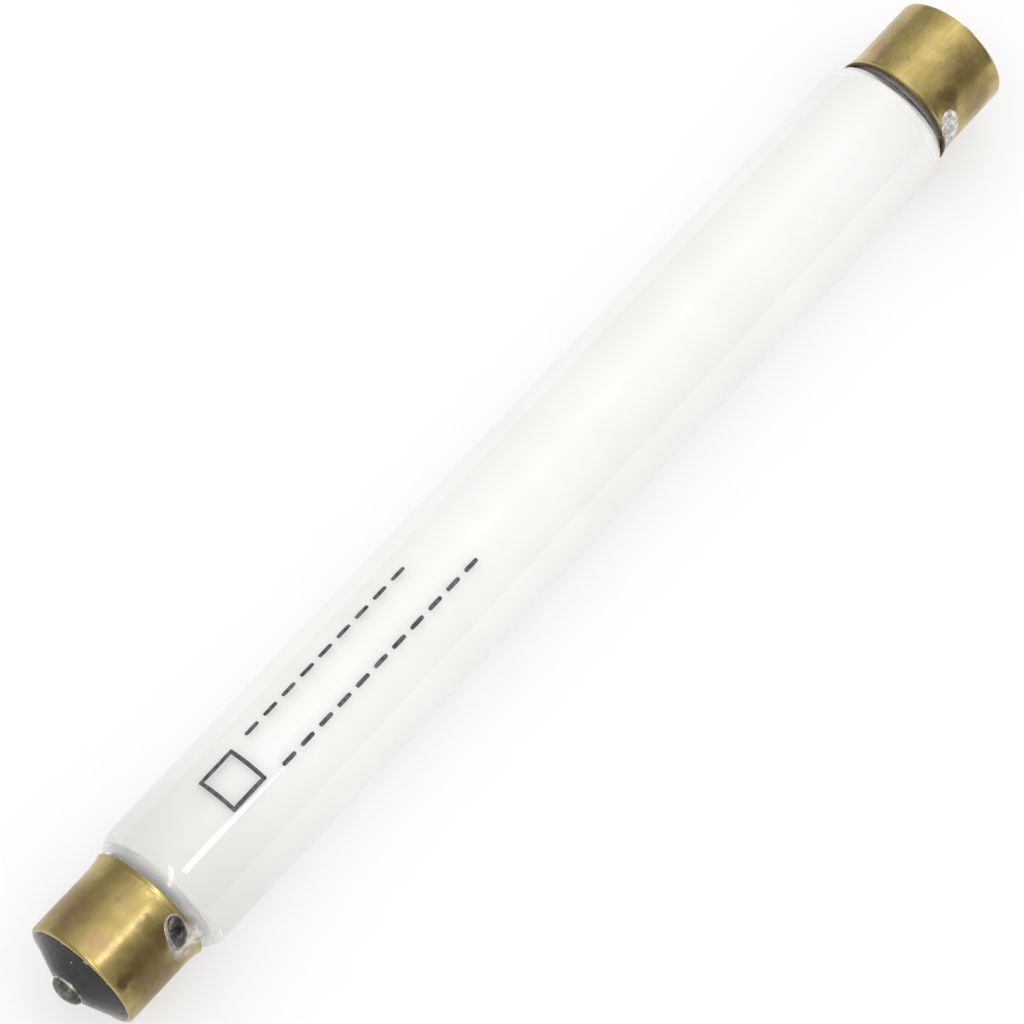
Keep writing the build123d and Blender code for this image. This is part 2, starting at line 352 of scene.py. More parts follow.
def powder(name, underside=False):
    """Matt white powder that lets part of the light through, faintly cloudy and greyer at the left end.

    The film scatters light once, at its top, so its underside lets scattered light through.
    """
    material, tree = new_material(name)
    cloud = spread(tree, noise(tree, scale=110, detail=5), low=0.3, high=0.75)
    white = tint(tree, cloud, POWDER_WHITE, POWDER_GREY)
    left_grey = spread(tree, along_axis(tree), LEFT_GREY_FROM, LEFT_GREY_FULL, end=LEFT_GREY_SHARE)
    white = tint(tree, left_grey, white, POWDER_LEFT_GREY)
    lit = surface(tree, {
        "Base Color": white,
        "Roughness": POWDER_ROUGHNESS,
        "Specular IOR Level": POWDER_SHINE,
        "Normal": bump(tree, noise(tree, scale=9000, detail=2), POWDER_GRAIN),
    })
    through = node(tree, "ShaderNodeBsdfTranslucent", {"Color": white}).outputs["BSDF"]
    film = laid_over(tree, POWDER_THROUGH, lit, through)
    show(tree, let_light_through(tree, film) if underside else film)
    return material


def wiped_haze(end):
    """What is left of the powder on the wiped glass: a streaked veil, darkened towards the cap with painted
    shade.
    """
    material, tree = new_material(f"wiped_haze_{end}")
    streak = spread(tree, noise(tree, scale=2400, stretch=(1, 0.15, 0.15)), low=0.35, high=0.7)
    streaked = tint(tree, streak, HAZE_PALE[end], HAZE_STREAK[end])
    outwards = off_middle(tree)
    # Painted shade towards the cap.
    cap_shade = spread(tree, outwards, COATING_RIGHT, COATING_RIGHT + HAZE_REACH)
    show(tree, surface(tree, {
        "Base Color": tint(tree, cap_shade, streaked, HAZE_SHADED[end]),
        "Roughness": POWDER_ROUGHNESS,
        "Specular IOR Level": POWDER_SHINE,
        "Alpha": spread(tree, outwards, HAZE_START + HAZE_FADE, HAZE_START, HAZE_SHARE[end], HAZE_DENSE),
    }))
    return material


# The film lies on the glass from one wavy edge to the other, with its rows crowded at both edges.
along = np.linspace(0, 1, FILM_ROWS)[:, None]
left_edge = COATING_LEFT + EDGE_WANDER * ripple(0, turn, MM, LEFT_EDGE_SEED)
right_edge = COATING_RIGHT + EDGE_WANDER * ripple(0, turn, MM, RIGHT_EDGE_SEED)
film_x = left_edge + (right_edge - left_edge) * (0.5 - 0.5 * np.cos(math.pi * along))
film_top = coating_radius(film_x, TUBE_WALL) + COATING_CLING + glass_waver(film_x, turn)
film_under = coating_radius(film_x, TUBE_WALL + COATING)
film = np.concatenate([about_axis(film_x, film_top, turn), about_axis(film_x, film_under, turn)[::-1]])
coating = skin("coating", [film])
coating.data.materials.append(powder("phosphor_powder"))
coating.data.materials.append(powder("phosphor_underside", underside=True))
coating.data.polygons.foreach_set("material_index", np.repeat([0, 1], FILM_ROWS * TURN_STEPS))
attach(coating, "root")
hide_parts("phosphor_coating")

# The haze lies on the glass from just under the coating's edge to the end of each neck.
haze_x, haze_r = glass_half(TUBE_WALL + HAZE_DEPTH, wall_rows=2, arc_rows=HAZE_ROWS)
wiped = haze_x > HAZE_START
haze_x, haze_r = haze_x[wiped][:, None], haze_r[wiped][:, None]
veil = []
for sign in (-1, 1):
    inside = about_axis(sign * haze_x, haze_r, turn)[::sign]
    outside = about_axis(sign * haze_x, haze_r + HAZE_THICKNESS, turn)[::sign]
    veil.append(np.concatenate([outside, inside[::-1]]))
haze = skin("wiped_haze", veil)
for end in ENDS:
    haze.data.materials.append(wiped_haze(end))
haze.data.polygons.foreach_set("material_index", np.repeat([0, 1], len(haze_x) * 2 * TURN_STEPS))
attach(haze, "root")


# Stems: in each end a flared glass tube, pressed flat round two lead wires and carrying the
# thin exhaust tube, is melted into the neck. A coil between the leads is the cathode.
STEM_TINT = (0.955, 0.975, 0.965, 1)
STEM_ROUGHNESS = 0.16
WIRE_GREY = (0.50, 0.44, 0.38, 1)
WIRE_DARK = (0.24, 0.20, 0.17, 1)
OXIDE_WHITE = (0.84, 0.82, 0.78, 1)
OXIDE_GREY = (0.62, 0.60, 0.56, 1)
ROUGHNESS_DRIFT = 0.08


def mottled(name, first, second, scale, roughness, metallic, depth, relief=5.0):
    """A finish that drifts between two colours, with its roughness and a relief of a depth in metres.

    The colours drift in lumps of about one over scale metres, and the relief is finer by its factor.
    """
    material, tree = new_material(name)
    drift = spread(tree, noise(tree, scale, detail=5), low=0.35, high=0.65)
    dullness = noise(tree, 3 * scale, detail=2)
    smoothest = roughness - ROUGHNESS_DRIFT
    dullest = roughness + ROUGHNESS_DRIFT
    show(tree, surface(tree, {
        "Base Color": tint(tree, drift, first, second),
        "Metallic": metallic,
        "Roughness": spread(tree, dullness, low=0.3, high=0.7, start=smoothest, end=dullest),
        "Normal": bump(tree, noise(tree, relief * scale), depth),
    }))
    return material


def dress(node_name, material):
    """Gives a solid of the frame its finish."""
    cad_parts[node_name].data.materials.clear()
    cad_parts[node_name].data.materials.append(material)


stem_glass = clear_glass("stem_glass", STEM_TINT, STEM_ROUGHNESS)
lead_wire = mottled(
    "lead_wire", WIRE_GREY, WIRE_DARK, scale=1500, roughness=0.35, metallic=1.0, depth=0.004 * MM,
)
oxide_coat = mottled(
    "oxide_coat", OXIDE_WHITE, OXIDE_GREY, scale=2500, roughness=0.85, metallic=0.0, depth=0.02 * MM,
)
for end in ENDS:
    dress(f"stem_{end}", stem_glass)
    dress(f"contact_lead_{end}", lead_wire)
    dress(f"rim_lead_{end}", lead_wire)
    dress(f"filament_{end}", oxide_coat)


# Basing cement: a sandy resin paste that was squeezed between the neck and the cap and baked
# hard there, which browned it in patches.
CEMENT_BUFF = (0.56, 0.45, 0.31, 1)
CEMENT_BROWN = (0.30, 0.21, 0.13, 1)

cement = mottled(
    "basing_cement", CEMENT_BUFF, CEMENT_BROWN, scale=1200, roughness=0.85, metallic=0.0, depth=0.05 * MM,
)
for end in ENDS:
    dress(f"basing_cement_{end}", cement)


# Cap shells: drawn from brass sheet in one stroke, with a bell mouth at the rim and the far
# end turned in over the insulator. Handling and the baking have tarnished them, and each blush
# or dark patch is a place along the axis (mm), an angle (degrees), a reach (mm) and a strength.
# The broad dark patches on the sides are painted dark reflection of the darker surroundings
# that the sides mirror, and the darkening along the rims is painted shade.
FLARE_ROWS = 44
SHELL_ROWS = 30
CORNER_ROWS = 10
LIP_ROWS = 4
EDGE_ROWS = 7
CAP_SHEET = 0.25 * MM
FLARE_LENGTH = 2.2 * MM
FLARE_RISE = 0.28 * MM
CAP_CORNER = 0.4 * MM
CAP_LIP = 0.5 * MM
CAP_LENGTH = 10.2 * MM
CAP_R = 6.8 * MM
CAP_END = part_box("cap_shell_right")[1].x
RIM_X = CAP_END - CAP_LENGTH
LIP_R = CAP_R - CAP_LIP
FLARE_RADIUS = (FLARE_LENGTH**2 + FLARE_RISE**2) / (2 * FLARE_RISE)
FLARE_TURN = math.asin(FLARE_LENGTH / FLARE_RADIUS)
WALL_START = RIM_X + FLARE_LENGTH
WALL_END = CAP_END - CAP_CORNER
EDGE_ROUND = 0.06 * MM
RIM_GROOVE = 0.05 * MM
GROOVE_PLACE = 0.45 * MM
GROOVE_HALF = 0.16 * MM
SHELL_DENT = 0.03 * MM
DENT_WAVE = 25 * MM
DENT_SEED = 21
SOLDER_ANGLE = {"left": math.radians(142.5), "right": math.radians(163.5)}
# The left colour is the brass's face. The right one is the same brass made paler, which is painted light for
# the brighter light on that cap.
BRASS_FACE_AND_LIGHT = {"left": (0.49, 0.385, 0.145, 1), "right": (0.60, 0.475, 0.175, 1)}
BRASS_OLIVE = (0.34, 0.265, 0.075, 1)
BRASS_BLUSH = (0.43, 0.28, 0.145, 1)
BRASS_BROWN = (0.12, 0.078, 0.028, 1)
BRASS_ROUGHNESS = {"left": (0.25, 0.32), "right": (0.22, 0.29)}
SOIL_ROUGHNESS = 0.25
DRAWN_LINES = 0.003 * MM
LACQUER = 0.22
LACQUER_ROUGHNESS = 0.06
# Painted shade along the rim, for the rim's edge and the gap beside it lying in shadow, strongest at the
# right end.
RIM_SHADE = {"left": 0.1, "right": 0.9}
RIM_SHADE_REACH = 0.4 * MM
SPOT_CORE = 0.25
SPOT_RAGGED = 0.45
RAGGED_MOST = 1.6
BLUSHES = {
    "left": [
        (-66.8, 57, 2.6, 0.7), (-68.3, 61, 1.8, 0.7), (-67.9, 97, 1.9, 0.75), (-62.5, 89, 1.1, 0.5),
        (-68.4, 116, 1.2, 0.6),
    ],
    "right": [(61.9, 50, 1.9, 0.9), (63.0, 47, 1.8, 0.8), (66.0, 48, 2.2, 0.4)],
}
# The broad patches, with reaches of 3.6 mm and more, are painted dark reflection of the darker surroundings
# that the sides mirror. The smaller ones darken the brass in patches.
PATCHES_AND_DARK_REFLECTIONS = {
    "left": [
        (-63.0, 121, 1.6, 0.45), (-62.8, 137, 2.6, 0.7), (-68.4, 138, 1.6, 0.85), (-66.0, 150, 5.0, 0.75),
        (-65.5, 170, 5.5, 0.65), (-66.0, 43, 5.0, 0.45),
    ],
    "right": [(62.7, 138, 2.0, 0.8), (66.3, 128, 3.6, 0.5), (66.0, 160, 4.5, 0.55), (66.0, 38, 5.0, 0.2)],
}


def shell_line(depth):
    """The right shell's outline at a depth below its outside, from the rim to the lip's edge.

    An arc that opens out at the rim, a straight wall, a quarter round at the end and a flat lip.
    """
    flare = np.linspace(FLARE_TURN, 0, FLARE_ROWS)
    corner = np.linspace(math.pi / 2, 0, CORNER_ROWS)
    reach = FLARE_RADIUS + depth
    bend = CAP_CORNER - depth
    wall_x = np.linspace(WALL_START, WALL_END, SHELL_ROWS)[1:-1]
    lip_r = np.linspace(CAP_R - CAP_CORNER, LIP_R, LIP_ROWS)[1:]
    x = [
        WALL_START - reach * np.sin(flare),
        wall_x,
        WALL_END + bend * np.cos(corner),
        np.full(len(lip_r), CAP_END - depth),
    ]
    r = [
        CAP_R + FLARE_RADIUS - reach * np.cos(flare),
        np.full(len(wall_x), CAP_R - depth),
        CAP_R - CAP_CORNER + bend * np.sin(corner),
        lip_r,
    ]
    return np.concatenate(x), np.concatenate(r)


def rounded_edge(start, end, out):
    """Points over a cut edge from one side of the sheet to the other, bulged along a direction.

    The bulge is half an ellipse over the thickness of the sheet.
    """
    share = np.linspace(0, 1, EDGE_ROWS)[1:-1]
    swell = EDGE_ROUND * np.sqrt(1 - (2 * share - 1) ** 2)
    x = start[0] + (end[0] - start[0]) * share + out[0] * swell
    r = start[1] + (end[1] - start[1]) * share + out[1] * swell
    return x, r


def shell_outline():
    """Outside from rim to lip, round the lip's edge, inside back to the rim, round the rim's edge.

    A shallow groove, a bell curve in section, runs round the outside close to the rim.
    """
    out_x, out_r = shell_line(0)
    out_r = out_r - RIM_GROOVE * np.exp(-(((out_x - RIM_X - GROOVE_PLACE) / GROOVE_HALF) ** 2))
    in_x, in_r = (values[::-1] for values in shell_line(CAP_SHEET))
    lip_x, lip_r = rounded_edge((out_x[-1], out_r[-1]), (in_x[0], in_r[0]), (0, -1))
    rim_out = (-math.cos(FLARE_TURN), math.sin(FLARE_TURN))
    rim_x, rim_r = rounded_edge((in_x[-1], in_r[-1]), (out_x[0], out_r[0]), rim_out)
    return np.concatenate([out_x, lip_x, in_x, rim_x]), np.concatenate([out_r, lip_r, in_r, rim_r])


def at_end(points, end):
    """Right-end points turned to their place: about the axis, and for the left end half round as well."""
    x, y, z = points[..., 0], points[..., 1], points[..., 2]
    turn_by = SOLDER_ANGLE[end]
    if end == "left":
        x, y, turn_by = -x, -y, turn_by - math.pi
    c, s = math.cos(turn_by), math.sin(turn_by)
    return np.stack([x, y * c - z * s, y * s + z * c], axis=-1)


def ragged_spot(tree, x, angle, reach, ragged=SPOT_RAGGED):
    """1 at a place on the cap's wall, fading out over a reach, with an edge broken up by noise.

    The place and the reach are in millimetres. A wide spot fades more than it breaks up.
    """
    radians = math.radians(angle)
    centre = (x * MM, CAP_R * math.cos(radians), CAP_R * math.sin(radians))
    place = node(tree, "ShaderNodeTexCoord").outputs["Object"]
    gap = node(tree, "ShaderNodeVectorMath", {0: place, 1: centre}, operation="DISTANCE").outputs["Value"]
    stray = ragged * min(reach, RAGGED_MOST) * MM
    wander = spread(tree, noise(tree, scale=900, detail=4), low=0.2, high=0.8, start=-stray, end=stray)
    return spread(tree, arithmetic(tree, "ADD", gap, wander), reach * MM, SPOT_CORE * reach * MM)


def aged_brass(end):
    """Tarnished brass: gold drifting to olive, pink blushes, brown patches and grime, with painted dark
    reflections on its sides and painted shade along the rim.
    """
    material, tree = new_material(f"aged_brass_{end}")
    drift = spread(tree, noise(tree, scale=420, detail=6), low=0.30, high=0.80, end=0.8)
    # The right cap's paler gold here is painted light.
    colour = tint(tree, drift, BRASS_FACE_AND_LIGHT[end], BRASS_OLIVE)
    drawn = spread(tree, noise(tree, scale=2600, stretch=(0.12, 1, 1)), low=0.4, high=0.7, end=0.3)
    colour = tint(tree, drawn, colour, BRASS_OLIVE)
    speckle = spread(tree, noise(tree, scale=5200), low=0.45, high=0.75, end=0.5)
    colour = tint(tree, speckle, colour, BRASS_BLUSH)
    for x, angle, reach, strength in BLUSHES[end]:
        blush = arithmetic(tree, "MULTIPLY", ragged_spot(tree, x, angle, reach), strength)
        colour = tint(tree, blush, colour, BRASS_BLUSH)
    grime = noise(tree, scale=700, detail=5, shift=(0.3, 0, 0))
    soil_and_painted_dark = spread(tree, grime, low=0.62, high=0.80, end=0.35)
    # Painted shade along the rim.
    rim_shade = spread(tree, off_middle(tree), RIM_X + RIM_SHADE_REACH, RIM_X, end=RIM_SHADE[end])
    soil_and_painted_dark = arithmetic(tree, "MAXIMUM", soil_and_painted_dark, rim_shade)
    # The broad patches among these are painted dark reflection.
    for x, angle, reach, strength in PATCHES_AND_DARK_REFLECTIONS[end]:
        dark_patch = arithmetic(tree, "MULTIPLY", ragged_spot(tree, x, angle, reach), strength)
        soil_and_painted_dark = arithmetic(tree, "MAXIMUM", soil_and_painted_dark, dark_patch)
    smooth, worn = BRASS_ROUGHNESS[end]
    dull = spread(tree, noise(tree, scale=1500, detail=4), low=0.3, high=0.7, start=smooth, end=worn)
    rough_where_dark = arithmetic(tree, "MULTIPLY", soil_and_painted_dark, SOIL_ROUGHNESS)
    show(tree, surface(tree, {
        "Base Color": tint(tree, soil_and_painted_dark, colour, BRASS_BROWN),
        "Metallic": 1.0,
        "Roughness": arithmetic(tree, "ADD", dull, rough_where_dark),
        "Coat Weight": LACQUER,
        "Coat Roughness": LACQUER_ROUGHNESS,
        "Normal": bump(tree, noise(tree, scale=3500, stretch=(0.25, 1, 1)), DRAWN_LINES),
    }))
    return material


shell_x, shell_r = (values[:, None] for values in shell_outline())
for number, end in enumerate(ENDS):
    dents = SHELL_DENT * ripple(shell_x, turn, DENT_WAVE, DENT_SEED + number)
    shell = skin(f"shell_{end}", [at_end(about_axis(shell_x, shell_r + dents, turn), end)])
    shell.data.materials.append(aged_brass(end))
    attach(shell, "root")
    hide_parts(f"cap_shell_{end}")


# Insulators: black glass poured into each shell's end while hot, so it fills the space behind
# the lip and stands out of it as a smooth cone round the eyelet.
BACK_ROWS = 4
UNDER_ROWS = 8
CONE_ROWS = 24
CONE_EDGE_ROWS = 8
INSULATOR_DEPTH = 2.4 * MM
CONE_TOP_R = 2.4 * MM
CONE_EDGE = 0.35 * MM
EYELET_R = 1.0 * MM
FLAT_R = 1.5 * EYELET_R
CONE_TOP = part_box("cap_insulator_right")[1].x
INSULATOR_BACK = CAP_END - INSULATOR_DEPTH
CONE_WAVER = 0.03 * MM
CONE_WAVE = 6 * MM
CONE_SEED = 31
BLACK_GLASS = (0.007, 0.0075, 0.008, 1)
BLACK_DUST = (0.022, 0.021, 0.020, 1)
CLEAN_ROUGHNESS = 0.16
DUSTY_ROUGHNESS = 0.42
BLACK_SHINE = 0.3
POURED_RELIEF = 0.03 * MM
# Pale flecks near the lip: partly chipped glass, partly painted glints.
CHIP_AND_GLINT_PALE = (0.36, 0.34, 0.30, 1)
CHIP_GLINT_BAND = 1.1 * MM
CHIP_GLINT_CROWD = 0.085


def insulator_outline():
    """Back ring, wall, quarter round under the lip, cone with a rounded top edge, and the bore."""
    under = np.linspace(math.pi / 2, 0, UNDER_ROWS)
    bend = CAP_CORNER - CAP_SHEET
    slope = math.atan2(LIP_R - CONE_TOP_R, CONE_TOP - CAP_END)
    cone_x = np.linspace(CAP_END, CONE_TOP, CONE_ROWS)[:-2]
    cone_r = LIP_R - (cone_x - CAP_END) * math.tan(slope)
    edge = np.linspace(math.pi / 2 - slope, 0, CONE_EDGE_ROWS)
    edge_r = CONE_TOP_R - CONE_EDGE * math.tan(slope / 2)
    x = [
        np.linspace(INSULATOR_BACK, WALL_END, BACK_ROWS),
        WALL_END + bend * np.cos(under),
        [CAP_END - CAP_SHEET],
        cone_x,
        CONE_TOP - CONE_EDGE * (1 - np.cos(edge)),
        [CONE_TOP, CONE_TOP, INSULATOR_BACK],
    ]
    r = [
        np.full(BACK_ROWS, CAP_R - CAP_SHEET),
        CAP_R - CAP_CORNER + bend * np.sin(under),
        [LIP_R],
        cone_r,
        edge_r + CONE_EDGE * np.sin(edge),
        [FLAT_R, EYELET_R, EYELET_R],
    ]
    return np.concatenate(x), np.concatenate(r)


def off_axis(tree):
    """The distance from the lamp's axis, in metres."""
    place = node(tree, "ShaderNodeTexCoord").outputs["Object"]
    across = node(tree, "ShaderNodeVectorMath", {0: place, 1: (0, 1, 1)}, operation="MULTIPLY")
    sockets = {0: across.outputs["Vector"]}
    return node(tree, "ShaderNodeVectorMath", sockets, operation="LENGTH").outputs["Value"]


def poured_glass(name):
    """Glossy black glass with dust in its hollows, a faintly uneven face and pale flecks near the lip, which
    are partly chipped glass and partly painted glints.
    """
    material, tree = new_material(name)
    dust = spread(tree, noise(tree, scale=1300, detail=5), low=0.5, high=0.75)
    dusty = tint(tree, dust, BLACK_GLASS, BLACK_DUST)
    # Pale flecks near the lip, partly painted glints.
    at_lip = spread(tree, off_axis(tree), LIP_R - CHIP_GLINT_BAND, LIP_R, end=CHIP_GLINT_CROWD)
    fleck_noise = noise(tree, scale=1900, detail=2, shift=(0.1, 0.2, 0))
    chips_and_glints = spread(tree, arithmetic(tree, "ADD", fleck_noise, at_lip), low=0.73, high=0.78)
    show(tree, surface(tree, {
        "Base Color": tint(tree, chips_and_glints, dusty, CHIP_AND_GLINT_PALE),
        "Roughness": spread(tree, dust, low=0, high=1, start=CLEAN_ROUGHNESS, end=DUSTY_ROUGHNESS),
        "Specular IOR Level": BLACK_SHINE,
        "Normal": bump(tree, noise(tree, scale=900), POURED_RELIEF),
    }))
    return material


black_glass = poured_glass("black_glass")
cone_x, cone_r = (values[:, None] for values in insulator_outline())
for number, end in enumerate(ENDS):
    waver = CONE_WAVER * ripple(cone_x, turn, CONE_WAVE, CONE_SEED + number) * (cone_x > CAP_END)
    cone = skin(f"insulator_{end}", [at_end(about_axis(cone_x, cone_r + waver, turn), end)])
    cone.data.materials.append(black_glass)
    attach(cone, "root")
    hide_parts(f"cap_insulator_{end}")


# Centre contacts: a brass eyelet is set through each insulator, and a drop of solder over it
# takes the lead. The drop froze as a lumpy dome that leaves the tinned flange's edge bare.
DOME_ROWS = 26
FLANGE_R = 1.95 * MM
FLANGE_THICKNESS = 0.3 * MM
FLANGE_TOP = CONE_TOP + FLANGE_THICKNESS
DOME_INSET = 0.1 * MM
DOME_BED = 0.03 * MM
DOME_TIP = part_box("contact_solder_right")[1].x
PLUG_DEPTH = 1.0 * MM
DOME_BACK = FLANGE_TOP - PLUG_DEPTH
PLUG_R = 0.75 * EYELET_R
PLUG_CORE_R = 0.2 * EYELET_R
LUMP_LAYERS = 3
DOME_LUMP = 2.6 * MM
DOME_SWELL = 0.07
DOME_SEED = 41
SWELL_MARGIN = 0.15 * MM
SWELL_FROM = FLANGE_TOP - SWELL_MARGIN
EYELET_TINNED = (0.66, 0.64, 0.58, 1)
EYELET_DULL = (0.30, 0.28, 0.23, 1)
SOLDER_GREY = (0.18, 0.17, 0.145, 1)
SOLDER_DARK = (0.07, 0.066, 0.055, 1)


def dome_outline():
    """From the plug in the eyelet's bore out over the flange, then a quarter ellipse to the dome's tip."""
    swing = np.linspace(0, math.pi / 2, DOME_ROWS)[:-1]
    skirt_r = FLANGE_R - DOME_INSET
    skirt_x = FLANGE_TOP - DOME_BED
    x = np.concatenate([[DOME_BACK, DOME_BACK, skirt_x], skirt_x + (DOME_TIP - skirt_x) * np.sin(swing)])
    r = np.concatenate([[PLUG_CORE_R, PLUG_R, PLUG_R], skirt_r * np.cos(swing)])
    return x, r


def lumps(points, size, height, seed):
    """Soft bumps on points in space: the mean of a sine wave along each axis, in layers.

    Each layer has drawn phases, and its waves are shorter and lower by the layer's number.
    """
    draw = np.random.default_rng(seed)
    total = 0
    for layer in range(1, LUMP_LAYERS + 1):
        phase = draw.uniform(0, 2 * math.pi, 3)
        waves = np.sin(points * 2 * math.pi * layer / size + phase)
        total = total + (waves.sum(axis=-1) / 3) / layer
    return height * total


tinned_eyelet = mottled(
    "tinned_eyelet", EYELET_TINNED, EYELET_DULL, scale=900, roughness=0.30, metallic=1.0, depth=0.01 * MM,
)
dull_solder = mottled(
    "dull_solder", SOLDER_GREY, SOLDER_DARK, scale=1400, roughness=0.34, metallic=1.0, depth=0.03 * MM,
)
dome_x, dome_r = (values[:, None] for values in dome_outline())
for number, end in enumerate(ENDS):
    swell = lumps(about_axis(dome_x, dome_r, turn), DOME_LUMP, DOME_SWELL, DOME_SEED + number)
    lumpy_r = dome_r * np.where(dome_x > SWELL_FROM, 1 + swell, 1)
    contact = skin(f"contact_dome_{end}", [at_end(about_axis(dome_x, lumpy_r, turn), end)], ring=False)
    contact.data.materials.append(dull_solder)
    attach(contact, "root")
    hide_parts(f"contact_solder_{end}")
    dress(f"contact_eyelet_{end}", tinned_eyelet)


# Rim solder: one lead comes out between glass and rim and is tinned to the outside of the
# shell. The left joint froze round in a pale ring and is painted near black for the dark room
# its bright tin mirrors, and the right one froze as a low smear.
# Flux ran out of the left joint over the rim and the glass and dried as a whitish film.
PAD_ROWS = 20
PAD_COLUMNS = 72
PAD_CORE = 0.02
RIM_R = CAP_R + FLARE_RISE
SEAT_REACH = 2.0 * MM
BRIDGE_DROP = 0.05 * MM
TIN_DARK_REFLECTION = (0.13, 0.12, 0.105, 1)
TIN_BLACK_REFLECTION = (0.045, 0.042, 0.038, 1)
TIN_PALE = (0.80, 0.775, 0.74, 1)
TIN_GREY = (0.34, 0.32, 0.285, 1)
RING_PALE = (0.42, 0.40, 0.365, 1)
RING_GREY = (0.20, 0.19, 0.17, 1)
FLUX_WHITE = (0.80, 0.79, 0.76, 1)
FLUX_GREY = (0.60, 0.59, 0.56, 1)
FLUX_ROUGHNESS = 0.3
FLUX_RELIEF = 0.01 * MM
FLUX_SHARE = 0.62
FLUX_THIN_SHARE = 0.6 * FLUX_SHARE
FLUX_PLACE = {"x": -61.0, "angle": 156, "reach": 2.7, "ragged": 0.2}
LUMP = {
    "left": {
        "x": 61.3 * MM, "angle": 0.0, "length": 1.0 * MM, "width": 1.85 * MM, "slant": -0.22,
        "height": 0.60 * MM, "swell": 0.09 * MM,
    },
    "right": {
        "x": 61.2 * MM, "angle": 0.0, "length": 1.45 * MM, "width": 2.3 * MM, "slant": -0.15,
        "height": 0.38 * MM, "swell": 0.16 * MM,
    },
}
RING = {
    "x": 61.4 * MM, "angle": -0.02, "length": 1.28 * MM, "width": 2.1 * MM, "slant": -0.22,
    "height": 0.20 * MM,
}
FLUX = {
    "x": 61.0 * MM, "angle": -0.25, "length": 2.2 * MM, "width": 3.2 * MM, "slant": 0.0,
    "height": 0.08 * MM,
}
LUMP_SQUARENESS = 2.2
LUMP_FULLNESS = 2
LUMP_ROUNDNESS = 0.62
LUMP_WAVE = 1.7 * MM
LUMP_SEED = 51
SPILL_SQUARENESS = 2.4
SPILL_FULLNESS = 4
BED_DEPTH = 0.12 * MM
BED_FULLNESS = 3


def rim_seat(x):
    """What a lump at an end lies on: the shoulder's glass, a bridge to the rim, the bell mouth, the wall."""
    past = np.clip(x - SHOULDER_X, 0, SEAT_REACH)
    on_glass = TUBE_R - SHOULDER_RADIUS + np.sqrt(SHOULDER_RADIUS**2 - past**2)
    short = np.clip(WALL_START - x, 0, FLARE_LENGTH)
    on_flare = CAP_R + FLARE_RADIUS - np.sqrt(FLARE_RADIUS**2 - short**2)
    return np.where(x > RIM_X, on_flare, np.maximum(on_glass, RIM_R - BRIDGE_DROP))


def domed(share, height, fullness, roundness=1.0):
    """A height from a pad's middle to its edge: 1 less the share to a power, itself taken to a power."""
    return height * (1 - share**fullness) ** roundness


def pad(form, squareness, top, bed, seat, rows=PAD_ROWS, columns=PAD_COLUMNS):
    """A closed pad on a round seat, with a top domed up from it and an underside sunk into it.

    The plan is a superellipse of the form's half length along the axis and half width round it,
    slanted by a share of the way round. top and bed are what domed takes after the share.
    """
    share = np.linspace(PAD_CORE, 1, rows)[:, None]
    way = np.linspace(0, 2 * math.pi, columns, endpoint=False)[None, :]
    bend = 2 / squareness
    step_x = form["length"] * np.sign(np.cos(way)) * np.abs(np.cos(way)) ** bend * share
    step_y = form["width"] * np.sign(np.sin(way)) * np.abs(np.sin(way)) ** bend * share
    x = form["x"] + (step_x + form["slant"] * step_y)
    radius = seat(x)
    angle = form["angle"] + step_y / radius
    upper = about_axis(x, radius + domed(share, *top), angle)
    lower = about_axis(x, radius - domed(share, *bed), angle)
    return np.concatenate([upper, lower[::-1]])


def dried_flux(name):
    """A whitish see-through film of dried flux, with thinner patches and an edge that fades out."""
    material, tree = new_material(name)
    patch = spread(tree, noise(tree, scale=900, detail=4), low=0.35, high=0.7)
    share = spread(tree, patch, low=0, high=1, start=FLUX_SHARE, end=FLUX_THIN_SHARE)
    show(tree, surface(tree, {
        "Base Color": tint(tree, patch, FLUX_WHITE, FLUX_GREY),
        "Roughness": FLUX_ROUGHNESS,
        "Alpha": arithmetic(tree, "MULTIPLY", ragged_spot(tree, **FLUX_PLACE), share),
        "Normal": bump(tree, noise(tree, scale=2600), FLUX_RELIEF),
    }))
    return material


# The left lump's near-black tin is painted dark reflection of the room that its bright tin mirrors.
solder_painted_dark = mottled(
    "solder_painted_dark", TIN_DARK_REFLECTION, TIN_BLACK_REFLECTION, scale=700, roughness=0.12, metallic=1.0, depth=0.22 * MM, relief=2.2,
)
pale_solder = mottled(
    "pale_solder", TIN_PALE, TIN_GREY, scale=1700, roughness=0.42, metallic=0.35, depth=0.05 * MM,
)
ring_solder = mottled(
    "ring_solder", RING_PALE, RING_GREY, scale=1500, roughness=0.3, metallic=0.8, depth=0.06 * MM,
)
bed = (BED_DEPTH, BED_FULLNESS)
over = np.concatenate([np.linspace(1, 0, PAD_ROWS), np.zeros(PAD_ROWS)])[:, None, None]
for number, end in enumerate(ENDS):
    form = LUMP[end]
    grid = pad(form, LUMP_SQUARENESS, (form["height"], LUMP_FULLNESS, LUMP_ROUNDNESS), bed, rim_seat)
    swell = lumps(grid, LUMP_WAVE, form["swell"], LUMP_SEED + number)
    reach = np.hypot(grid[..., 1], grid[..., 2])[..., None]
    outwards = np.concatenate([0 * reach, grid[..., 1:] / reach], axis=-1)
    grid = grid + swell[..., None] * over * outwards
    joint = skin(f"solder_lump_{end}", [at_end(grid, end)], ring=False)
    joint.data.materials.append(solder_painted_dark if end == "left" else pale_solder)
    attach(joint, "root")
    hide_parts(f"rim_solder_{end}")
